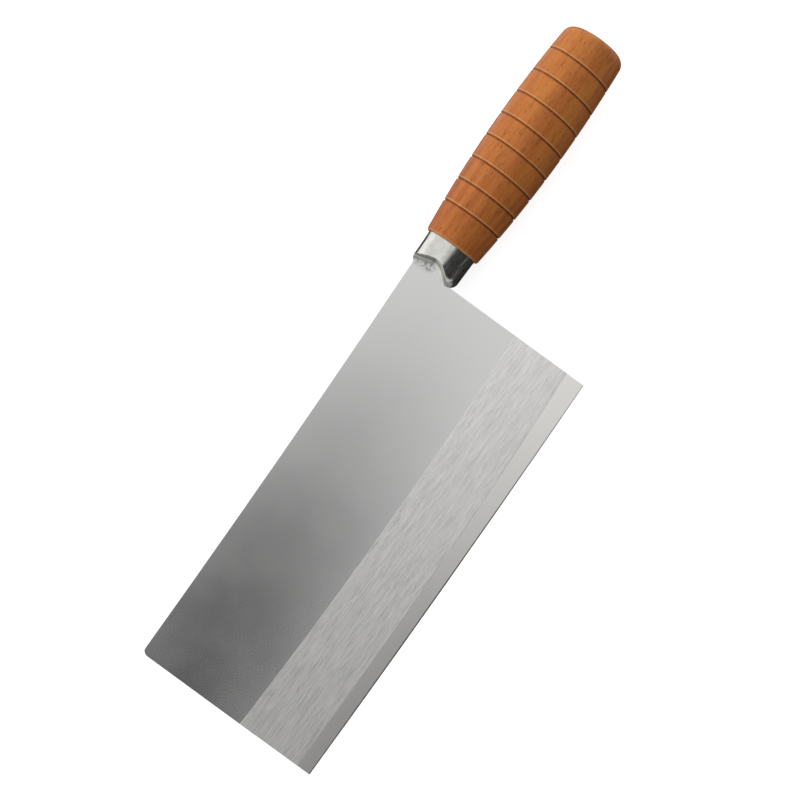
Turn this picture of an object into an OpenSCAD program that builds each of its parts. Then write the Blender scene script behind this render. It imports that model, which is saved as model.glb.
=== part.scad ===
// Slim kitchen cleaver: compound ground blade, scooped round bolster, turned wooden grip.
// X runs along the grip axis towards the butt, Y towards the spine, Z out of the left face.
// The origin is on the grip axis, where the wood meets the bolster.

/* [Blade] */
// Length of the cutting edge, heel to front
blade_len = 206.2; // [160:0.2:240]
// Thickness at the spine
blade_t = 2; // [1.4:0.1:3]
// Spine height over the grip axis at the heel
spine_heel = 10.1; // [9.4:0.1:11]
// Spine height over the grip axis at the front
spine_front = 7.3; // [5:0.1:10]
// How far the spine dips below a straight line
spine_hollow = 0.8; // [0.2:0.1:3]
// Depth of the edge under the grip axis at the heel
edge_heel = 81.4; // [70:0.2:100]
// Depth of the edge under the grip axis at the front
edge_front = 82.6; // [70:0.2:100]
// How far the edge bellies out from a straight line
edge_belly = 0.8; // [0.2:0.1:4]
// How far the heel's top sits behind the front of the bolster
heel_tuck = 0.6; // [0.2:0.1:1.5]
// How far the heel slants forward from the spine down to the edge
heel_rake = 0.8; // [0:0.1:4]
// How far the front slants forward from the spine down to the edge
front_rake = 1.1; // [0:0.1:4]
// Rounding of the corner between the spine and the front
front_corner_r = 3; // [0.5:0.5:10]
// Chamfer along both sides of the spine
spine_chamfer = 0.25; // [0.1:0.05:0.5]

/* [Grind] */
// Height of the brushed bevel's top over the edge, at its lowest
bevel_h = 35.7; // [24:0.1:50]
// Height of the edge strip's top over the edge, at its lowest
strip_h = 6.9; // [4:0.1:12]
// Blade thickness at the top of the edge strip
strip_t = 0.9; // [0.7:0.05:1.2]
// Blade thickness at the foot of the edge strip, at its lowest
edge_t = 0.35; // [0.3:0.05:0.45]
// How far the bevel's top climbs from its lowest place to an end of the blade
bevel_climb = 2.15; // [0.5:0.05:5]
// How far the strip's top climbs in the same way
strip_climb = 2.1; // [0.5:0.05:3]
// Distance of the bevel's lowest place from the heel
bevel_low_x = 108; // [70:1:130]
// Distance of the strip's lowest place from the heel
strip_low_x = 136; // [90:1:150]
// Angle of the honed edge to the blade's middle plane
hone_angle = 16; // [12:1:22]
// Thickness left at the very edge
land_t = 0.08; // [0.04:0.02:0.16]

/* [Bolster] */
// Length of the bolster
bolster_len = 15.5; // [14.5:0.1:22]
// Radius where the bolster meets the wood
bolster_r = 11.85; // [11.7:0.05:12.4]
// Radius where the side would meet the front face without its rounding
bolster_front_r = 11.5; // [11.2:0.05:11.7]
// Rounding of the front rim
rim_r = 4; // [2:0.25:4.5]
// Depth of the cup that takes the wood's tenon
cup_depth = 6; // [4:0.25:7]
// Wall of the bolster round its cup
cup_wall = 2; // [1.4:0.1:3]
// Half width of the slot for the blade's neck
neck_half = 9; // [7.5:0.1:9.2]
// How far the neck goes into the bolster
neck_depth = 6.4; // [4:0.1:6.6]
// How far each face of the neck is ground below the blade's face
neck_step = 0.05; // [0.02:0.01:0.1]

/* [Scoop] */
// How far the crown of the scoop lies behind the bolster's front
scoop_reach = 6.1; // [4:0.1:7]
// Height of the crown of the scoop over the grip axis
scoop_crown = 2.3; // [-2:0.1:4]
// Radius of the round stone that grinds the scoop
stone_r = 8.5; // [6:0.25:10]
// Fillet between the scoop's wall and the blade's face
stone_nose_r = 2.4; // [1:0.1:3.5]
// Lean of the scoop's wall
stone_lean = 4; // [1:0.5:12]
// Slant of the scoop towards the spine
spine_slant = 15; // [0:1:30]
// Slant of the scoop towards the heel
heel_slant = 37; // [10:1:50]

/* [Tang] */
// Radius of the rod
rod_r = 4; // [3.6:0.1:4.4]
// Length of the rod behind the bolster's back face
rod_len = 80; // [50:1:84]
// Chamfer at the rod's end
rod_chamfer = 1; // [0.25:0.25:2]
// Half height of the blade's tongue inside the rod's fork
tongue_half = 3.2; // [2:0.1:3.4]
// Length of the tongue behind the bolster's back face
tongue_len = 8; // [4:0.5:14]
// Distance of the first ring notch from the bolster
notch_first = 22; // [16:1:30]
// Number of ring notches that key the glue
notch_count = 5; // [2:1:6]
// Distance from one notch to the next
notch_pitch = 11; // [6:0.5:11.5]
// Width of a notch
notch_w = 2; // [1:0.25:3]
// Depth of a notch
notch_depth = 0.6; // [0.3:0.1:0.9]

/* [Grip] */
// Length of the wooden grip
grip_len = 109.3; // [100:0.1:130]
// Radius where the side would meet the bolster without its rounding
grip_front_r = 13.2; // [13:0.05:14.5]
// Largest radius of the barrel
grip_belly_r = 16.6; // [15.6:0.1:19]
// Distance of the largest radius from the bolster
grip_belly_x = 61; // [50:1:70]
// Radius where the side would meet the butt without its rounding
grip_butt_r = 14.6; // [13.5:0.1:15.2]
// Rounding of the front corner
front_round = 1.2; // [0.5:0.1:1.3]
// Rounding of the butt's corner
butt_round = 5.5; // [2:0.5:7]
// Radius of the butt's crown
butt_dome_r = 80; // [60:5:200]
// Radius of the bore for the rod
bore_r = 5; // [4.8:0.1:6]
// Room in the bore behind the rod's end
bore_room = 6; // [2:0.5:8]

/* [Grooves] */
// Distance of the first groove from the bolster
groove_first = 14.7; // [10:0.1:20]
// Distance from the first groove to the second
groove_pitch = 10.75; // [8:0.05:14]
// How much each space is wider than the one before it
groove_growth = 0.19; // [0:0.01:0.4]
// Depth, and half the width, of a groove
groove_r = 0.55; // [0.3:0.05:0.9]
// Plain wood kept between the last groove and the butt
groove_margin = 12; // [8:0.5:20]

/* [Clearances] */
// Gap between welded faces
weld_gap = 0.03; // [0.02:0.01:0.1]
// Gap round the tenon in its cup
tenon_gap = 0.08; // [0.03:0.01:0.15]
// Gap between the tenon's end and the floor of its cup
tenon_end_gap = 0.4; // [0.1:0.1:1]
// Gap between the glue and what it holds
glue_gap = 0.02; // [0.01:0.01:0.05]

/* [Hidden] */

satin_steel = [0.72, 0.72, 0.71];
polished_steel = [0.82, 0.82, 0.80];
rod_steel = [0.45, 0.46, 0.48];
hardwood = [0.68, 0.38, 0.20];
resin = [0.85, 0.78, 0.55];

// Facets of ordinary circles and of very wide ones
fine = 96;
wide = 1440;
// Length by which a cutter runs past what it cuts
over = 1;
// Bite with which the front corner's rounding crosses the spine's arc
blend_bite = 0.02;
// Angle by which the scoop's round end laps over its straight runs
lap_angle = 20;
// Half the angle of a drill's point
drill_point = 59;

// Radius of a shallow arc, from half its chord and its rise
function arc_radius(half, rise) = (half * half + rise * rise) / (2 * rise);
function unit(v) = v / norm(v);
// The direction to the right of a direction
function right_of(u) = [u.y, -u.x];
// Centre of the arc from p to q that bulges to the right by a rise
function arc_centre(p, q, rise) =
    (p + q) / 2 + (rise - arc_radius(norm(q - p) / 2, rise)) * right_of(unit(q - p));
// The far crossing of a line, from p along u, with a circle
function along(p, u, c, r) =
    let (b = (c - p) * u)
    p + (b + sqrt(r * r - (c - p) * (c - p) + b * b)) * u;
// The crossing of two circles that lies to the right of the way from the first to the second
function meet(c1, r1, c2, r2) =
    let (d = norm(c2 - c1), u = unit(c2 - c1), a = (d * d + r1 * r1 - r2 * r2) / (2 * d))
    c1 + a * u + sqrt(r1 * r1 - a * a) * right_of(u);

// Ends of the blade's four sides
heel_x = heel_tuck - bolster_len;
front_x = heel_x - heel_rake - blade_len + front_rake;
spine_back = [heel_x, spine_heel];
spine_tip = [front_x, spine_front];
edge_back = [heel_x - heel_rake, -edge_heel];
edge_tip = [front_x - front_rake, -edge_front];
// The arcs of the spine and the edge
spine_r = arc_radius(norm(spine_tip - spine_back) / 2, spine_hollow);
spine_c = arc_centre(spine_tip, spine_back, spine_hollow);
edge_r = arc_radius(norm(edge_tip - edge_back) / 2, edge_belly);
edge_c = arc_centre(edge_tip, edge_back, edge_belly);
// The heel's and the front's place at a height
function heel_at(y) = heel_x - heel_rake * (spine_heel - y) / (spine_heel + edge_heel);
function front_at(y) = front_x - front_rake * (spine_front - y) / (spine_front + edge_front);

// Grind: each bevel is a very flat cone, so its top is an arc
low_y = edge_c.y - edge_r;
bevel_low = [heel_x - bevel_low_x, low_y + bevel_h];
strip_low = [heel_x - strip_low_x, low_y + strip_h];
bevel_ring = arc_radius(blade_len / 2, bevel_climb);
strip_ring = arc_radius(blade_len / 2, strip_climb);
bevel_slope = (blade_t - strip_t) / 2 / (bevel_h - strip_h);
strip_slope = (strip_t - edge_t) / 2 / strip_h;

// Bolster and tang
neck_half_t = blade_t / 2 - neck_step;
slot_half_t = neck_half_t + weld_gap;
neck_x = neck_depth - bolster_len;
cup_r = bolster_r - cup_wall;
rod_x = weld_gap - cup_depth;

// Grip: two long arcs that meet at the belly, a rounded front corner and a crowned butt
front_arc_r = arc_radius(grip_belly_x, grip_belly_r - grip_front_r);
rear_arc_r = arc_radius(grip_len - grip_belly_x, grip_belly_r - grip_butt_r);
front_arc_c = [grip_belly_r - front_arc_r, grip_belly_x];
rear_arc_c = [grip_belly_r - rear_arc_r, grip_belly_x];
dome_c = [0, grip_len - butt_dome_r];
tenon_r = cup_r - tenon_gap;
tenon_len = cup_depth - tenon_end_gap;
bore_end = rod_len + bore_room;

// Radius of the grip at a distance from the bolster
function grip_r(x) =
    let (c = x < grip_belly_x ? front_arc_c : rear_arc_c,
         r = x < grip_belly_x ? front_arc_r : rear_arc_r)
    c.x + sqrt(r * r - (x - c.y) * (x - c.y));
// Place of a groove, where the spaces widen steadily
function groove_x(i) = groove_first + groove_pitch * i + groove_growth * i * (i - 1) / 2;

// Turns a profile, drawn as radius and distance along the grip, about the grip axis
module turned() {
    rotate([0, 90, 0]) rotate_extrude($fn = fine) children();
}

// What a rounding takes off a corner: it lies outside a circle, between the directions
// in which that circle touches the corner's two sides
module corner_waste(c, r, dir1, dir2) {
    reach = 1.6 * r;
    difference() {
        polygon([c, c + reach * dir1, c + reach * (dir1 + dir2), c + reach * dir2]);
        translate(c) circle(r = r, $fn = fine);
    }
}

module blade_outline() {
    top = spine_heel + over;
    low = -max(edge_heel, edge_front) - edge_belly - over;
    front_out = right_of(unit(spine_tip - edge_tip)) * -1;
    // The rounding touches the front's line and just crosses the spine's arc
    corner_start = edge_tip - front_corner_r * front_out;
    corner_way = unit(edge_tip - spine_tip);
    corner_c = along(corner_start, corner_way, spine_c, spine_r + front_corner_r - blend_bite);
    difference() {
        intersection() {
            // Behind its top the plate runs on until it meets the bolster's rim
            polygon([
                [rim_r - bolster_len, top],
                [rim_r - bolster_len, 0],
                [heel_at(0), 0],
                [heel_at(low), low],
                [front_at(low), low],
                [front_at(top), top]
            ]);
            translate(edge_c) circle(r = edge_r, $fn = wide);
        }
        translate(spine_c) circle(r = spine_r, $fn = wide);
        corner_waste(corner_c, front_corner_r, front_out, unit(spine_c - corner_c));
    }
}

// What one bevel takes off the left face, outside a flat cone that starts on an arc
module bevel_waste(low, ring, half_t, slope, lead, run) {
    translate([low.x, low.y + ring, 0])
        rotate_extrude($fn = wide)
            polygon([
                [ring - lead, half_t + lead * slope],
                [ring + run, half_t - run * slope],
                [ring + run, blade_t],
                [ring - lead, blade_t]
            ]);
}

// What the hone takes off the left face, along the edge
module hone_waste() {
    slope = tan(hone_angle);
    translate(edge_c)
        rotate_extrude($fn = wide)
            polygon([
                [edge_r - over, land_t / 2 + over * slope],
                [edge_r + over, land_t / 2 - over * slope],
                [edge_r + over, blade_t],
                [edge_r - over, blade_t]
            ]);
}

// What the chamfer takes off the left face, along the spine
module chamfer_waste() {
    translate(spine_c)
        rotate_extrude($fn = wide)
            polygon([
                [spine_r - over, blade_t / 2 - spine_chamfer - over],
                [spine_r + spine_chamfer + over, blade_t / 2 + over],
                [spine_r - over, blade_t / 2 + over]
            ]);
}

module left_face_waste() {
    bevel_run = bevel_h + bevel_climb + 2 * over;
    strip_run = strip_h + 2 * strip_climb + over;
    bevel_waste(bevel_low, bevel_ring, blade_t / 2, bevel_slope, over, bevel_run);
    bevel_waste(strip_low, strip_ring, strip_t / 2, strip_slope, strip_h, strip_run);
    hone_waste();
    chamfer_waste();
}

// The neck fills the bolster's slot, and the tongue behind it lies in the rod's fork
module neck_and_tongue() {
    neck_w = 2 * (neck_half - weld_gap);
    translate([heel_x - over, -neck_w / 2, -neck_half_t])
        cube([neck_x - weld_gap - heel_x + over, neck_w, 2 * neck_half_t]);
    translate([neck_x - over, -tongue_half, -neck_half_t])
        cube([tongue_len - neck_x + over, 2 * tongue_half, 2 * neck_half_t]);
}

module blade() {
    color(satin_steel) {
        difference() {
            linear_extrude(height = blade_t, center = true) blade_outline();
            turned() bolster_profile(weld_gap);
            left_face_waste();
            mirror([0, 0, 1]) left_face_waste();
        }
        neck_and_tongue();
    }
}

// Outside of the bolster, grown by a gap where something is fitted round it
module bolster_profile(grow = 0) {
    back = [bolster_r + grow, 0];
    front = [bolster_front_r + grow, -bolster_len - grow];
    side_out = right_of(unit(back - front));
    end_out = [0, -1];
    rim_c = front - rim_r * (side_out + end_out) / (1 + side_out * end_out);
    difference() {
        polygon([[0, 0], back, front, [0, front.y]]);
        corner_waste(rim_c, rim_r, side_out, end_out);
    }
}

// Half of the stone's outline over the blade's face: flat foot, round nose, leaning side
module stone_half(height) {
    foot = stone_r - stone_nose_r;
    tangent = [
        foot + stone_nose_r * cos(stone_lean),
        stone_nose_r * (1 - sin(stone_lean))
    ];
    polygon([
        [0, 0],
        [foot, 0],
        [foot, stone_nose_r],
        tangent,
        [tangent.x + (height - tangent.y) * tan(stone_lean), height],
        [0, height]
    ]);
    translate([foot, stone_nose_r]) circle(r = stone_nose_r, $fn = fine);
}

// What the stone takes off the left cheek, on its way from the spine to the heel
module scoop() {
    height = bolster_r + over;
    way = 2 * bolster_r;
    crown = [scoop_reach - bolster_len - stone_r, scoop_crown];
    translate([crown.x, crown.y, neck_half_t]) {
        // The round end spans the angle between the two straight runs and laps over them
        rotate([0, 0, -heel_slant - lap_angle])
            rotate_extrude(angle = heel_slant + spine_slant + 2 * lap_angle, $fn = fine)
                stone_half(height);
        rotate([0, 0, spine_slant])
            rotate([90, 0, 0])
                mirror([0, 0, 1])
                    linear_extrude(height = way) stone_half(height);
        rotate([0, 0, -heel_slant])
            rotate([90, 0, 0])
                linear_extrude(height = way) stone_half(height);
    }
}

module bolster() {
    slot_w = 2 * neck_half;
    tongue_w = 2 * (tongue_half + weld_gap);
    color(polished_steel)
        difference() {
            turned()
                difference() {
                    bolster_profile();
                    translate([0, -cup_depth]) square([cup_r, cup_depth + over]);
                }
            translate([-bolster_len - over, -slot_w / 2, -slot_half_t])
                cube([neck_depth + over, slot_w, 2 * slot_half_t]);
            translate([neck_x - over, -tongue_w / 2, -slot_half_t])
                cube([bolster_len, tongue_w, 2 * slot_half_t]);
            scoop();
            mirror([0, 0, 1]) scoop();
        }
}

// The rod before its fork is cut, grown by a gap where the glue lies round it
module rod_body(grow = 0) {
    end = rod_len + grow;
    r = rod_r + grow;
    turned()
        difference() {
            polygon([
                [0, rod_x],
                [r, rod_x],
                [r, end - rod_chamfer],
                [r - rod_chamfer, end],
                [0, end]
            ]);
            for (i = [0:1:notch_count - 1])
                translate([r - notch_depth, notch_first + notch_pitch * i + grow])
                    square([notch_depth + over, notch_w - 2 * grow]);
        }
}

module tang_rod() {
    slot_x = tongue_len + weld_gap;
    color(rod_steel)
        difference() {
            rod_body();
            translate([-cup_depth - over, -rod_r - over, -slot_half_t])
                cube([slot_x + cup_depth + over, 2 * (rod_r + over), 2 * slot_half_t]);
        }
}

// The bore in the wood, with a drill's point at its end
module bore_profile(shrink = 0) {
    r = bore_r - shrink;
    polygon([
        [0, -tenon_len],
        [r, -tenon_len],
        [r, bore_end],
        [0, bore_end + r / tan(drill_point)]
    ]);
}

module tang_adhesive() {
    color(resin)
        difference() {
            turned() bore_profile(glue_gap);
            rod_body(glue_gap);
        }
}

module grip_profile() {
    front_c = along(
        [0, front_round], [1, 0], front_arc_c, front_arc_r - front_round
    );
    butt_c = meet(rear_arc_c, rear_arc_r - butt_round, dome_c, butt_dome_r - butt_round);
    difference() {
        union() {
            intersection() {
                square([2 * grip_belly_r, grip_belly_x]);
                translate(front_arc_c) circle(r = front_arc_r, $fn = wide);
            }
            intersection() {
                translate([0, grip_belly_x]) square([2 * grip_belly_r, grip_len]);
                translate(rear_arc_c) circle(r = rear_arc_r, $fn = wide);
                translate(dome_c) circle(r = butt_dome_r, $fn = wide);
            }
        }
        corner_waste(front_c, front_round, unit(front_c - front_arc_c), [0, -1]);
        corner_waste(butt_c, butt_round, unit(butt_c - rear_arc_c), unit(butt_c - dome_c));
    }
}

module handle() {
    groove_xs = [
        for (i = [0:1:20])
            if (groove_x(i) < grip_len - groove_margin) groove_x(i)
    ];
    color(hardwood)
        turned()
            difference() {
                union() {
                    grip_profile();
                    translate([0, -tenon_len]) square([tenon_r, tenon_len + over]);
                }
                bore_profile();
                for (x = groove_xs)
                    translate([grip_r(x), x]) circle(r = groove_r, $fn = fine);
            }
}

blade();
bolster();
tang_rod();
handle();
tang_adhesive();
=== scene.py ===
"""Looks of a slim kitchen cleaver: ground steel blade, polished bolster, grooved wooden grip."""

import math

import bmesh
import bpy
from mathutils import Matrix, Vector


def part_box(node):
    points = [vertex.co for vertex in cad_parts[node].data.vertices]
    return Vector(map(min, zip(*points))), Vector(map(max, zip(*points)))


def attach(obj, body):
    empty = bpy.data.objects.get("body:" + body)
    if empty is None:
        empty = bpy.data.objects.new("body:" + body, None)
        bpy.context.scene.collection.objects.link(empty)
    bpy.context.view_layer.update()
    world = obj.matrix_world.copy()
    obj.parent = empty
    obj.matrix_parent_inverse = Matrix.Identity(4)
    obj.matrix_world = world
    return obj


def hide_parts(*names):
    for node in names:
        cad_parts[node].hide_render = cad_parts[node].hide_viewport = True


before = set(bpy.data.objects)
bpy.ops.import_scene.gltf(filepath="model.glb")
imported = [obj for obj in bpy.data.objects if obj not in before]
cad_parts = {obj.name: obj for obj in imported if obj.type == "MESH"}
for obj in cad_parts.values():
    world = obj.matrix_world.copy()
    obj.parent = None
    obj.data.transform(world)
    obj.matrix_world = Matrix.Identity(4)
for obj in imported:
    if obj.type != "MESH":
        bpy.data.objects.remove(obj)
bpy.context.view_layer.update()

bl_info = {
    "name": "Kitchen Cleaver",
    "version": (1, 0, 0),
    "blender": (4, 5, 0),
    "location": "View3D > Sidebar > Cleaver",
    "description": "Dresses a slim kitchen cleaver and sets its stage",
    "category": "Object",
}

GRIP_LOW, GRIP_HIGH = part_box("handle")
BOLSTER_LOW, BOLSTER_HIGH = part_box("bolster")
BLADE_LOW, BLADE_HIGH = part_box("blade")
GRIP_LENGTH = GRIP_HIGH.x
GRIP_RADIUS = GRIP_HIGH.z
BOLSTER_LENGTH = -BOLSTER_LOW.x
MM = 0.001
# Tops of the brushed bevel and the edge strip: lowest point and radius of each arc
BEVEL_ARC = (BLADE_LOW.x + 99.0 * MM, BLADE_LOW.y + 35.7 * MM, 2473.08 * MM)
STRIP_ARC = (BLADE_LOW.x + 71.0 * MM, BLADE_LOW.y + 6.9 * MM, 2531.91 * MM)
SKY_RADIUS = 2.6


class CleaverSizes(bpy.types.PropertyGroup):
    """Sizes of the grip that the lathe follows"""

    front_radius: bpy.props.FloatProperty(
        name="Front Radius", description="Radius of the grip at the bolster",
        default=13.2 * MM, unit="LENGTH")
    butt_radius: bpy.props.FloatProperty(
        name="Butt Radius", description="Radius of the grip at the butt",
        default=14.6 * MM, unit="LENGTH")
    belly_place: bpy.props.FloatProperty(
        name="Belly Place", description="Distance of the thickest place from the bolster",
        default=61 * MM, unit="LENGTH")
    front_round: bpy.props.FloatProperty(
        name="Front Rounding", description="Rounding of the front corner",
        default=1.2 * MM, unit="LENGTH")
    butt_round: bpy.props.FloatProperty(
        name="Butt Rounding", description="Rounding of the butt's corner",
        default=5.5 * MM, unit="LENGTH")
    dome_radius: bpy.props.FloatProperty(
        name="Crown Radius", description="Radius of the butt's crown",
        default=80 * MM, unit="LENGTH")
    tenon_radius: bpy.props.FloatProperty(
        name="Tenon Radius", description="Radius of the tenon in the bolster",
        default=9.77 * MM, unit="LENGTH")
    bore_radius: bpy.props.FloatProperty(
        name="Bore Radius", description="Radius of the bore round the tang",
        default=5 * MM, unit="LENGTH")
    bore_depth: bpy.props.FloatProperty(
        name="Bore Depth", description="Depth of the bore behind the bolster",
        default=86 * MM, unit="LENGTH")
    groove_count: bpy.props.IntProperty(
        name="Grooves", description="Number of turned grooves", default=8, min=1, max=12)
    groove_first: bpy.props.FloatProperty(
        name="First Groove", description="Distance of the first groove from the bolster",
        default=14.7 * MM, unit="LENGTH")
    groove_pitch: bpy.props.FloatProperty(
        name="Groove Pitch", description="Distance from the first groove to the second",
        default=10.75 * MM, unit="LENGTH")
    groove_growth: bpy.props.FloatProperty(
        name="Groove Growth", description="How much each space is wider than the last",
        default=0.19 * MM, unit="LENGTH")
    groove_depth: bpy.props.FloatProperty(
        name="Groove Depth", description="Depth of a groove",
        default=0.55 * MM, unit="LENGTH")
    groove_tilt: bpy.props.FloatProperty(
        name="Groove Tilt", description="How far a hand-cut groove runs out of square",
        default=0.85 * MM, unit="LENGTH")


class CleaverColours(bpy.types.PropertyGroup):
    """Colours of the cleaver and its stage"""

    flat_steel: bpy.props.FloatVectorProperty(
        name="Flat Steel", description="Satin flat of the blade",
        default=(0.66, 0.66, 0.65), size=3, subtype="COLOR", min=0, max=1)
    band_steel: bpy.props.FloatVectorProperty(
        name="Brushed Steel", description="Brushed bevel of the blade",
        default=(0.86, 0.85, 0.84), size=3, subtype="COLOR", min=0, max=1)
    strip_steel: bpy.props.FloatVectorProperty(
        name="Edge Steel", description="Smooth strip along the edge",
        default=(0.74, 0.73, 0.71), size=3, subtype="COLOR", min=0, max=1)
    bolster_steel: bpy.props.FloatVectorProperty(
        name="Polished Steel", description="Bolster",
        default=(0.67, 0.67, 0.64), size=3, subtype="COLOR", min=0, max=1)
    rod_steel: bpy.props.FloatVectorProperty(
        name="Rod Steel", description="Tang rod",
        default=(0.42, 0.43, 0.45), size=3, subtype="COLOR", min=0, max=1)
    wood_pale: bpy.props.FloatVectorProperty(
        name="Pale Wood", description="Light grain of the grip",
        default=(0.52, 0.180, 0.038), size=3, subtype="COLOR", min=0, max=1)
    wood_deep: bpy.props.FloatVectorProperty(
        name="Deep Wood", description="Dark grain of the grip",
        default=(0.33, 0.088, 0.017), size=3, subtype="COLOR", min=0, max=1)
    # Colour of the real pores, also used as painted shade at the bottoms of the grooves
    wood_pore_and_groove_shade: bpy.props.FloatVectorProperty(
        name="Wood Pores", description="Pores and the bottoms of the grooves",
        default=(0.085, 0.022, 0.007), size=3, subtype="COLOR", min=0, max=1)
    resin: bpy.props.FloatVectorProperty(
        name="Glue", description="Hard glue round the tang",
        default=(0.70, 0.55, 0.28), size=3, subtype="COLOR", min=0, max=1)
    floor: bpy.props.FloatVectorProperty(
        name="Floor", description="Pale floor",
        default=(0.55, 0.55, 0.55), size=3, subtype="COLOR", min=0, max=1)


def sizes():
    return bpy.context.scene.cleaver_sizes


def colours():
    return bpy.context.scene.cleaver_colours


def rgba(colour):
    return (colour[0], colour[1], colour[2], 1.0)


class Tree:
    """A short way to place and join shader nodes"""

    def __init__(self, tree):
        self.tree = tree

    def put(self, kind, **settings):
        node = self.tree.nodes.new(kind)
        for name, value in settings.items():
            setattr(node, name, value)
        return node

    def join(self, source, target):
        self.tree.links.new(source, target)

    def feed(self, value, socket):
        if isinstance(value, bpy.types.NodeSocket):
            self.join(value, socket)
        else:
            socket.default_value = value

    def maths(self, operation, first, second=0.0, clamp=False):
        node = self.put("ShaderNodeMath", operation=operation, use_clamp=clamp)
        self.feed(first, node.inputs[0])
        self.feed(second, node.inputs[1])
        return node.outputs[0]

    def ramp(self, value, low, high, to_low=0.0, to_high=1.0):
        node = self.put("ShaderNodeMapRange", interpolation_type="SMOOTHSTEP")
        for socket, item in zip(node.inputs, (value, low, high, to_low, to_high)):
            self.feed(item, socket)
        return node.outputs[0]

    def blend(self, factor, first, second):
        node = self.put("ShaderNodeMix", data_type="RGBA")
        self.feed(factor, node.inputs[0])
        self.feed(first, node.inputs[6])
        self.feed(second, node.inputs[7])
        return node.outputs[2]

    def noise(self, vector, stretch, detail=3.0, roughness=0.55):
        mapping = self.put("ShaderNodeMapping", vector_type="POINT")
        mapping.inputs["Scale"].default_value = stretch
        self.join(vector, mapping.inputs["Vector"])
        node = self.put("ShaderNodeTexNoise")
        node.inputs["Scale"].default_value = 1.0
        node.inputs["Detail"].default_value = detail
        node.inputs["Roughness"].default_value = roughness
        self.join(mapping.outputs[0], node.inputs["Vector"])
        return node.outputs["Fac"]

    def bump(self, height, distance, strength=1.0):
        node = self.put("ShaderNodeBump")
        node.inputs["Strength"].default_value = strength
        node.inputs["Distance"].default_value = distance
        self.join(height, node.inputs["Height"])
        return node.outputs[0]


def streak_group():
    """Fine lines along the X axis, as grinding leaves them, shared by the steels"""
    group = bpy.data.node_groups.get("grinding_streaks")
    if group:
        return group
    group = bpy.data.node_groups.new("grinding_streaks", "ShaderNodeTree")
    group.interface.new_socket("Vector", in_out="INPUT", socket_type="NodeSocketVector")
    group.interface.new_socket("Streaks", in_out="OUTPUT", socket_type="NodeSocketFloat")
    tree = Tree(group)
    entry = tree.put("NodeGroupInput")
    leave = tree.put("NodeGroupOutput")
    coarse = tree.noise(entry.outputs[0], (60, 2100, 2100), 2.0)
    thin = tree.noise(entry.outputs[0], (140, 5200, 5200), 2.0)
    both = tree.maths("ADD", tree.maths("MULTIPLY", coarse, 0.35), tree.maths("MULTIPLY", thin, 0.65))
    tree.join(both, leave.inputs[0])
    return group


def new_material(name):
    material = bpy.data.materials.new(name)
    material.use_nodes = True
    tree = Tree(material.node_tree)
    shader = material.node_tree.nodes["Principled BSDF"]
    place = tree.put("ShaderNodeTexCoord").outputs["Object"]
    return material, tree, shader, place


def streaks(tree, place):
    node = tree.put("ShaderNodeGroup", node_tree=streak_group())
    tree.join(place, node.inputs[0])
    return node.outputs[0]


def blade_material():
    """Satin flat, brushed bevel and smooth strip, which meet along two wide arcs"""
    paint = colours()
    material, tree, shader, place = new_material("blade_steel")
    bevel = below_arc(tree, place, BEVEL_ARC)
    strip = below_arc(tree, place, STRIP_ARC)
    band = tree.maths("SUBTRACT", bevel, strip, clamp=True)
    lines = streaks(tree, place)
    cloud = tree.noise(place, (22, 22, 22), 4.0)
    grain = tree.noise(place, (2600, 2600, 2600), 2.0)
    dark_line = tree.ramp(lines, 0.36, 0.60)
    band_colour = tree.blend(dark_line, (0.62, 0.61, 0.60, 1), rgba(paint.band_steel))
    flat_colour = tree.blend(cloud, (0.60, 0.60, 0.60, 1), rgba(paint.flat_steel))
    colour = tree.blend(band, flat_colour, band_colour)
    colour = tree.blend(strip, colour, rgba(paint.strip_steel))
    scoop_mottle = scoop_mottle_mask(tree, place)
    colour = tree.blend(scoop_mottle, colour, (0.34, 0.34, 0.33, 1))
    tree.join(colour, shader.inputs["Base Color"])
    flat_rough = tree.ramp(cloud, 0.3, 0.7, 0.16, 0.18)
    band_extra = tree.maths("MULTIPLY", band, tree.ramp(lines, 0.3, 0.7, 0.09, 0.15))
    rough = tree.maths("ADD", flat_rough, band_extra)
    rough = tree.maths("ADD", rough, tree.maths("MULTIPLY", scoop_mottle, 0.25))
    tree.join(rough, shader.inputs["Roughness"])
    shader.inputs["Metallic"].default_value = 1.0
    band_height = tree.maths("MULTIPLY", lines, band)
    height = tree.maths("ADD", band_height, tree.maths("MULTIPLY", grain, 0.06))
    tree.join(tree.bump(height, 0.00003, 0.6), shader.inputs["Normal"])
    return material


def below_arc(tree, place, arc):
    """Mask of what lies below a wide arc, given by its lowest point and its radius"""
    low_x, low_y, radius = arc
    flat = tree.put("ShaderNodeVectorMath", operation="MULTIPLY")
    tree.join(place, flat.inputs[0])
    flat.inputs[1].default_value = (1, 1, 0)
    apart = tree.put("ShaderNodeVectorMath", operation="DISTANCE")
    tree.join(flat.outputs[0], apart.inputs[0])
    apart.inputs[1].default_value = (low_x, low_y + radius, 0)
    return tree.maths("GREATER_THAN", apart.outputs["Value"], radius)


def scoop_mottle_mask(tree, place):
    """Mottled darker grey on the blade where it runs into the bolster's scoop, on the spine side"""
    split = tree.put("ShaderNodeSeparateXYZ")
    tree.join(place, split.inputs[0])
    behind = tree.ramp(split.outputs["X"], -BOLSTER_LENGTH - 0.0008, -BOLSTER_LENGTH + 0.0022)
    above = tree.ramp(split.outputs["Y"], -0.001, 0.003)
    mottle = tree.ramp(tree.noise(place, (900, 900, 900), 4.0), 0.42, 0.62, 0.25, 1.0)
    return tree.maths("MULTIPLY", tree.maths("MULTIPLY", behind, above), mottle)


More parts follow.
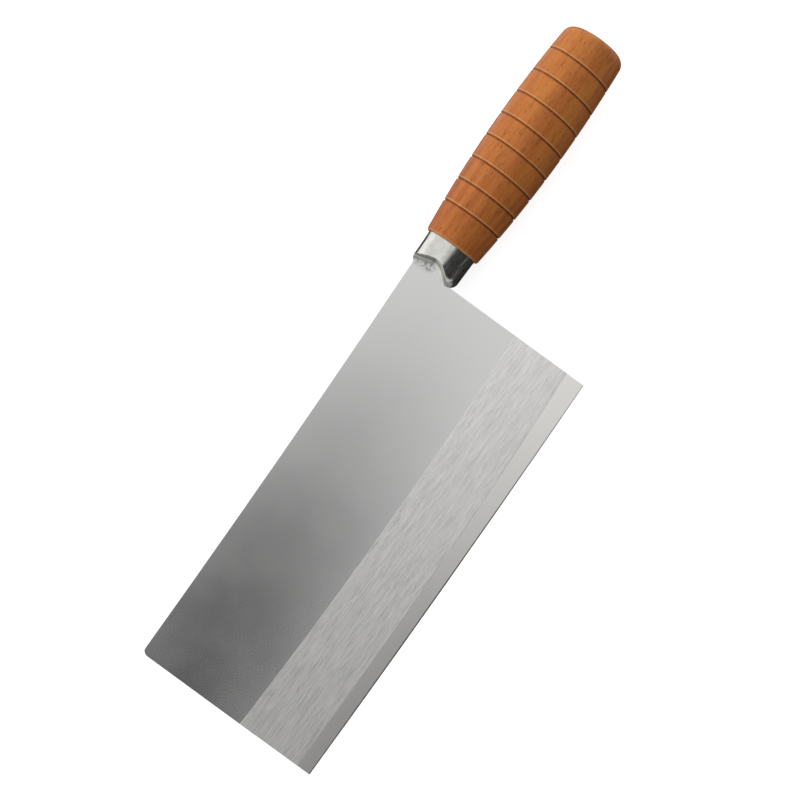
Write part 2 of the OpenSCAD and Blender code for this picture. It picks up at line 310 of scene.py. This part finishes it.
def bolster_material():
    paint = colours()
    material, tree, shader, place = new_material("bolster_steel")
    lines = streaks(tree, place)
    cloud = tree.noise(place, (260, 260, 260), 3.0)
    colour = tree.blend(tree.ramp(cloud, 0.35, 0.65), rgba(paint.bolster_steel), (0.58, 0.57, 0.54, 1))
    tree.join(colour, shader.inputs["Base Color"])
    tree.join(tree.ramp(lines, 0.3, 0.7, 0.15, 0.32), shader.inputs["Roughness"])
    shader.inputs["Metallic"].default_value = 1.0
    tree.join(tree.bump(lines, 0.000008, 0.5), shader.inputs["Normal"])
    return material


def rod_material():
    paint = colours()
    material, tree, shader, place = new_material("rod_steel")
    lines = streaks(tree, place)
    colour = tree.blend(lines, rgba(paint.rod_steel), (0.25, 0.24, 0.24, 1))
    tree.join(colour, shader.inputs["Base Color"])
    tree.join(tree.ramp(lines, 0.3, 0.7, 0.35, 0.55), shader.inputs["Roughness"])
    shader.inputs["Metallic"].default_value = 1.0
    return material


def resin_material():
    paint = colours()
    material, tree, shader, place = new_material("resin")
    cloud = tree.noise(place, (300, 300, 300), 3.0)
    colour = tree.blend(cloud, rgba(paint.resin), (0.55, 0.40, 0.18, 1))
    tree.join(colour, shader.inputs["Base Color"])
    tree.join(tree.ramp(cloud, 0.3, 0.7, 0.2, 0.35), shader.inputs["Roughness"])
    return material


def wood_material():
    """Reddish hardwood: long grain, short dark pores, redder at the bolster, with painted shade in the
    grooves and a painted highlight on the ridge past each groove and on the front corner
    """
    paint = colours()
    material, tree, shader, place = new_material("hardwood")
    grain = tree.noise(place, (16, 330, 330), 5.0, 0.6)
    broad = tree.noise(place, (9, 75, 75), 3.0)
    pores = tree.noise(place, (210, 2300, 2300), 2.0)
    flecks = tree.noise(place, (620, 1500, 1500), 2.0)
    split = tree.put("ShaderNodeSeparateXYZ")
    tree.join(place, split.inputs[0])
    near = tree.ramp(split.outputs["X"], 0.0, 0.075, 0.30, 0.0)
    mixed = tree.maths("ADD", tree.maths("MULTIPLY", grain, 0.6), tree.maths("MULTIPLY", broad, 0.4))
    depth = tree.maths("ADD", tree.ramp(mixed, 0.30, 0.78), near, clamp=True)
    colour = tree.blend(depth, rgba(paint.wood_pale), rgba(paint.wood_deep))
    pore = tree.ramp(pores, 0.55, 0.68)
    pore = tree.maths("MULTIPLY", pore, tree.ramp(flecks, 0.40, 0.60))
    colour = tree.blend(tree.maths("MULTIPLY", pore, 0.75), colour, rgba(paint.wood_pore_and_groove_shade))
    # Painted shade at the bottoms of the grooves, read from the grip's groove attribute
    cut = tree.put("ShaderNodeAttribute", attribute_name="groove").outputs["Fac"]
    cut = tree.maths("MULTIPLY", cut, tree.ramp(flecks, 0.25, 0.60, 0.40, 0.78))
    colour = tree.blend(cut, colour, rgba(paint.wood_pore_and_groove_shade))
    # Painted highlight on the ridge past each groove and on the front corner
    painted_highlight = tree.put("ShaderNodeAttribute", attribute_name="painted_highlight").outputs["Fac"]
    colour = tree.blend(tree.maths("MULTIPLY", painted_highlight, 0.45), colour, (0.80, 0.42, 0.19, 1))
    tree.join(colour, shader.inputs["Base Color"])
    tree.join(tree.ramp(grain, 0.3, 0.7, 0.36, 0.48), shader.inputs["Roughness"])
    shader.inputs["Specular IOR Level"].default_value = 0.22
    height = tree.maths("SUBTRACT", tree.maths("MULTIPLY", grain, 0.5), pore)
    tree.join(tree.bump(height, 0.00012, 0.7), shader.inputs["Normal"])
    return material


def lathe_grooves():
    s = sizes()
    return [
        s.groove_first + s.groove_pitch * i + s.groove_growth * i * (i - 1) / 2
        for i in range(s.groove_count)
    ]


def barrel_radius(x):
    """Radius of the plain grip: two long arcs that meet at the belly"""
    s = sizes()
    front = x < s.belly_place
    half = s.belly_place if front else GRIP_LENGTH - s.belly_place
    rise = GRIP_RADIUS - (s.front_radius if front else s.butt_radius)
    arc = (half * half + rise * rise) / (2 * rise)
    return GRIP_RADIUS - arc + math.sqrt(arc * arc - (x - s.belly_place) ** 2)


def groove_shape(x):
    """Drop of the surface that the grooves bring at a place, with the painted shade in a groove and
    the painted highlight on the ridge just past it towards the butt
    """
    s = sizes()
    half = s.groove_depth
    drop, dark, painted_highlight = 0.0, 0.0, 0.0
    for centre in lathe_grooves():
        away = (x - centre) / half
        if abs(away) < 1:
            drop = half * math.sqrt(1 - away * away)
            # Painted shade, deepest at the bottom of a groove
            dark = 1 - away * away
        # Painted highlight on the ridge just past a groove, towards the butt
        if 0.6 < away < 2.2:
            painted_highlight = max(painted_highlight, 1 - abs(away - 1.4) / 0.8)
    return drop, dark, painted_highlight


def grip_profile():
    """Closed outline of the grip as (distance, radius, painted groove shade, painted highlight), from
    axis to axis
    """
    s = sizes()
    low = GRIP_LOW.x
    tip = s.bore_radius / math.tan(math.radians(59))
    line = [
        (s.bore_depth + tip, 0.0, 0, 0),
        (s.bore_depth, s.bore_radius, 0, 0),
        (low, s.bore_radius, 0, 0),
        (low, s.tenon_radius, 0, 0),
        (0.0, s.tenon_radius, 0, 0),
    ]
    r = s.front_round
    centre = barrel_radius(r) - r
    # The front corner's rounding carries a painted highlight, strongest halfway round
    line += [
        (r - r * math.cos(a), centre + r * math.sin(a), 0, 0.6 * math.sin(2 * a))
        for a in (math.radians(step) for step in range(0, 90, 9))
    ]
    side_end = GRIP_LENGTH - s.butt_round
    places = [r + (side_end - r) * i / 100 for i in range(101)]
    for centre_x in lathe_grooves():
        places += [centre_x + s.groove_depth * step / 8 for step in range(-12, 19)]
    for x in sorted(set(round(place, 7) for place in places)):
        drop, dark, painted_highlight = groove_shape(x)
        line.append((x, barrel_radius(x) - drop, dark, painted_highlight))
    b = s.butt_round
    rim = barrel_radius(side_end) - b
    end = GRIP_LENGTH - s.dome_radius + math.sqrt(s.dome_radius ** 2 - rim * rim)
    reach = end - side_end
    line += [
        (side_end + reach * math.sin(a), rim + b * math.cos(a), 0, 0)
        for a in (math.radians(step) for step in range(6, 91, 6))
    ]
    for i in range(1, 8):
        radius = rim * (1 - i / 8)
        x = GRIP_LENGTH - s.dome_radius + math.sqrt(s.dome_radius ** 2 - radius * radius)
        line.append((x, radius, 0, 0))
    line.append((GRIP_LENGTH, 0.0, 0, 0))
    return line


def run_out(x):
    """How far a ring at this place is out of square, which fades towards both ends"""
    rise = min(max((x - 0.004) / 0.045, 0.0), 1.0)
    fade = min(max((0.103 - x) / 0.008, 0.0), 1.0)
    return sizes().groove_tilt * rise * fade


def turned_mesh(name, line, steps=144):
    """Turns an outline about the X axis into one closed mesh with its two attributes, the painted
    groove shade and the painted highlight
    """
    bm = bmesh.new()
    # Per-vertex painted shade for the grooves and painted highlight beside them
    groove_shade_layer = bm.verts.layers.float.new("groove")
    highlight_layer = bm.verts.layers.float.new("painted_highlight")
    rings = []
    for x, r, dark, painted_highlight in line:
        ring = []
        for i in range(1 if r == 0 else steps):
            angle = 2 * math.pi * i / steps
            shift = run_out(x) * math.cos(angle) if r > sizes().tenon_radius else 0.0
            vert = bm.verts.new((x + shift, r * math.cos(angle), r * math.sin(angle)))
            vert[groove_shade_layer] = dark
            vert[highlight_layer] = painted_highlight
            ring.append(vert)
        rings.append(ring)
    for first, second in zip(rings, rings[1:]):
        for i in range(steps):
            j = (i + 1) % steps
            corners = [first[i % len(first)], first[j % len(first)]]
            corners += [second[j % len(second)], second[i % len(second)]]
            corners = list(dict.fromkeys(corners))
            if len(corners) > 2:
                bm.faces.new(corners)
    bmesh.ops.remove_doubles(bm, verts=bm.verts, dist=1e-7)
    bmesh.ops.recalc_face_normals(bm, faces=bm.faces)
    mesh = bpy.data.meshes.new(name)
    bm.to_mesh(mesh)
    bm.free()
    return mesh


def show(name, mesh, material):
    piece = bpy.data.objects.new(name, mesh)
    bpy.context.scene.collection.objects.link(piece)
    mesh.materials.clear()
    mesh.materials.append(material)
    return piece


def smooth(mesh, degrees):
    """Smooth shading that keeps edges sharper than an angle"""
    mesh.polygons.foreach_set("use_smooth", [True] * len(mesh.polygons))
    mesh.set_sharp_from_angle(angle=math.radians(degrees))
    mesh.update()


def merged_copy(node, name):
    """A copy of a node's mesh whose loose triangles are joined"""
    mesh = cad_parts[node].data.copy()
    mesh.name = name
    bm = bmesh.new()
    bm.from_mesh(mesh)
    bmesh.ops.remove_doubles(bm, verts=bm.verts, dist=1e-6)
    bm.to_mesh(mesh)
    bm.free()
    return mesh


def dress_node(node, material):
    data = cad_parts[node].data
    if not data.materials:
        data.materials.append(material)
    for i in range(len(data.materials)):
        data.materials[i] = material


class CLEAVER_OT_blade(bpy.types.Operator):
    """Gives the blade its three finishes"""

    bl_idname = "cleaver.blade"
    bl_label = "Blade"

    def execute(self, context):
        dress_node("blade", blade_material())
        return {"FINISHED"}


class CLEAVER_OT_bolster(bpy.types.Operator):
    """Makes the polished bolster with smooth turned and scooped faces"""

    bl_idname = "cleaver.bolster"
    bl_label = "Bolster"

    def execute(self, context):
        mesh = merged_copy("bolster", "polished_bolster")
        piece = show("polished_bolster", mesh, bolster_material())
        smooth(mesh, 24)
        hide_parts("bolster")
        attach(piece, "root")
        return {"FINISHED"}


class CLEAVER_OT_grip(bpy.types.Operator):
    """Turns the grooved wooden grip"""

    bl_idname = "cleaver.grip"
    bl_label = "Grip"

    def execute(self, context):
        mesh = turned_mesh("turned_grip", grip_profile())
        piece = show("turned_grip", mesh, wood_material())
        smooth(mesh, 35)
        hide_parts("handle")
        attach(piece, "root")
        return {"FINISHED"}


class CLEAVER_OT_tang(bpy.types.Operator):
    """Gives the hidden rod and its glue their finishes"""

    bl_idname = "cleaver.tang"
    bl_label = "Tang and Glue"

    def execute(self, context):
        dress_node("tang_rod", rod_material())
        dress_node("tang_adhesive", resin_material())
        return {"FINISHED"}


def floor_material():
    """Pale floor that a camera ray sees nearly white, with the object's soft shadow kept"""
    material, tree, shader, place = new_material("pale_floor")
    cloud = tree.noise(place, (6, 6, 6), 3.0)
    floor = colours().floor
    colour = tree.blend(cloud, rgba(floor), rgba([part * 0.98 for part in floor]))
    tree.join(colour, shader.inputs["Base Color"])
    shader.inputs["Roughness"].default_value = 0.9
    shader.inputs["Specular IOR Level"].default_value = 0.0
    shader.inputs["Emission Color"].default_value = (1, 1, 1, 1)
    tree.join(tree.maths("MULTIPLY", seen_rays(tree), 0.80), shader.inputs["Emission Strength"])
    return material


def dark_patch(tree, split, middle, darkest, narrow):
    """A long dark patch of sky past the blade's front, at a height along Y"""
    along = tree.maths("MAXIMUM", tree.maths("ADD", split.outputs["X"], 0.28), 0.0)
    across = tree.maths("MULTIPLY", tree.maths("SUBTRACT", split.outputs["Y"], middle), narrow)
    along = tree.maths("MULTIPLY", along, along)
    across = tree.maths("MULTIPLY", across, across)
    apart = tree.maths("SQRT", tree.maths("ADD", along, across))
    return tree.ramp(apart, 0.10, 0.37, darkest, 1.0)


def sky_material():
    """Soft light, bright over the spine side and dark past the edge and the front"""
    material = bpy.data.materials.new("soft_sky")
    material.use_nodes = True
    material.node_tree.nodes.clear()
    tree = Tree(material.node_tree)
    way = tree.put("ShaderNodeVectorMath", operation="NORMALIZE")
    tree.join(tree.put("ShaderNodeTexCoord").outputs["Object"], way.inputs[0])
    split = tree.put("ShaderNodeSeparateXYZ")
    tree.join(way.outputs[0], split.inputs[0])
    aside = tree.maths("ABSOLUTE", split.outputs["X"])
    lowest = tree.ramp(aside, 0.22, 0.55, 0.03, 0.60)
    level = tree.ramp(split.outputs["Y"], -0.42, -0.16, lowest, 1.0)
    for middle, darkest, narrow in ((0.005, 0.0, 3.0), (-0.19, 0.25, 3.4)):
        patch = dark_patch(tree, split, middle, darkest, narrow)
        level = tree.maths("MULTIPLY", level, patch)
    glow = tree.put("ShaderNodeEmission")
    tree.join(level, glow.inputs["Strength"])
    tree.join(glow.outputs[0], tree.put("ShaderNodeOutputMaterial").inputs["Surface"])
    return material


def make_world():
    """White background, which mirrors and clear things see as the camera does"""
    world = bpy.data.worlds.new("studio")
    bpy.context.scene.world = world
    world.use_nodes = True
    tree = Tree(world.node_tree)
    background = world.node_tree.nodes["Background"]
    background.inputs["Color"].default_value = (1, 1, 1, 1)
    tree.join(seen_rays(tree), background.inputs["Strength"])


def seen_rays(tree):
    """Camera, mirror and clear rays as one mask"""
    rays = tree.put("ShaderNodeLightPath")
    seen = tree.maths("ADD", rays.outputs["Is Camera Ray"], rays.outputs["Is Glossy Ray"], clamp=True)
    return tree.maths("ADD", seen, rays.outputs["Is Transmission Ray"], clamp=True)


def make_sky():
    """Half dome round the stage, which the camera doesn't see"""
    bm = bmesh.new()
    bmesh.ops.create_uvsphere(bm, u_segments=64, v_segments=32, radius=SKY_RADIUS)
    low = [vert for vert in bm.verts if vert.co.z < -0.30]
    bmesh.ops.delete(bm, geom=low, context="VERTS")
    mesh = bpy.data.meshes.new("soft_sky")
    bm.to_mesh(mesh)
    bm.free()
    sky = show("soft_sky", mesh, sky_material())
    sky.visible_camera = False


def shade_material():
    material, tree, shader, place = new_material("dark_shade")
    cloud = tree.noise(place, (9, 9, 9), 2.0)
    colour = tree.blend(cloud, (0.045, 0.042, 0.040, 1), (0.060, 0.055, 0.052, 1))
    tree.join(colour, shader.inputs["Base Color"])
    shader.inputs["Roughness"].default_value = 1.0
    shader.inputs["Specular IOR Level"].default_value = 0.0
    return material


def floor_patch(name, corners, lift):
    """A flat piece over the floor, which touches the grip's belly and the blade's front"""
    belly = Vector((sizes().belly_place, 0.0, GRIP_LOW.z))
    front = Vector((BLADE_LOW.x, 0.0, BLADE_LOW.z))
    slope = (belly.z - front.z) / (belly.x - front.x)
    points = [(x, y, front.z + slope * (x - front.x) + lift) for x, y in corners]
    mesh = bpy.data.meshes.new(name)
    mesh.from_pydata(points, [], [(0, 1, 2, 3)])
    return mesh


def make_shade(name, near_y, far_y):
    """Dark card low beside the grip and bolster, which only their gloss mirrors"""
    low_x, high_x = -0.035, GRIP_LENGTH + 0.03
    corners = [(low_x, near_y), (high_x, near_y), (high_x, far_y), (low_x, far_y)]
    mesh = floor_patch(name, corners, 0.0004)
    card = show(name, mesh, shade_material())
    card.visible_camera = False
    card.visible_diffuse = False
    card.visible_shadow = False
    card.visible_transmission = False


class CLEAVER_OT_stage(bpy.types.Operator):
    """Sets the camera, the soft light and the floor that the cleaver lies on"""

    bl_idname = "cleaver.stage"
    bl_label = "Stage"

    def execute(self, context):
        scene = bpy.context.scene
        scene.view_settings.view_transform = "Standard"
        camera = bpy.data.cameras.new("camera")
        camera.angle = math.radians(22.53)
        camera_object = bpy.data.objects.new("camera", camera)
        scene.collection.objects.link(camera_object)
        turn = Matrix.Rotation(math.radians(-54.51), 4, "Z")
        camera_object.matrix_world = Matrix.Translation((-0.067, -0.0203, 0.87)) @ turn
        scene.camera = camera_object
        make_world()
        make_sky()
        make_shade("edge_side_shade", 0.004, -1.2)
        make_shade("spine_side_shade", 0.004, 0.030)
        lamp = bpy.data.lights.new("side_light", "AREA")
        lamp.energy = 8.5
        lamp.shape = "DISK"
        lamp.size = 0.9
        lamp_object = bpy.data.objects.new("side_light", lamp)
        lamp_object.location = (0.10, 1.25, 0.55)
        aim = Vector((-0.02, 0.0, 0.0)) - lamp_object.location
        lamp_object.rotation_euler = aim.to_track_quat("-Z", "Y").to_euler()
        lamp_object.visible_glossy = False
        scene.collection.objects.link(lamp_object)
        half = 3.0
        corners = [(-half, -half), (half, -half), (half, half), (-half, half)]
        show("floor", floor_patch("floor", corners, -0.0001), floor_material())
        return {"FINISHED"}


class CLEAVER_PT_panel(bpy.types.Panel):
    """Lists the cleaver's pieces"""

    bl_label = "Cleaver"
    bl_idname = "CLEAVER_PT_panel"
    bl_space_type = "VIEW_3D"
    bl_region_type = "UI"
    bl_category = "Cleaver"

    def draw(self, context):
        for operator in OPERATORS:
            self.layout.operator(operator.bl_idname)


OPERATORS = (
    CLEAVER_OT_blade, CLEAVER_OT_bolster, CLEAVER_OT_grip, CLEAVER_OT_tang, CLEAVER_OT_stage,
)
CLASSES = (CleaverSizes, CleaverColours) + OPERATORS + (CLEAVER_PT_panel,)


def register():
    for item in CLASSES:
        bpy.utils.register_class(item)
    bpy.types.Scene.cleaver_sizes = bpy.props.PointerProperty(type=CleaverSizes)
    bpy.types.Scene.cleaver_colours = bpy.props.PointerProperty(type=CleaverColours)


def unregister():
    del bpy.types.Scene.cleaver_colours
    del bpy.types.Scene.cleaver_sizes
    for item in reversed(CLASSES):
        bpy.utils.unregister_class(item)


def main():
    register()
    bpy.ops.cleaver.blade()
    bpy.ops.cleaver.bolster()
    bpy.ops.cleaver.grip()
    bpy.ops.cleaver.tang()
    bpy.ops.cleaver.stage()


if __name__ == "__main__":
    main()
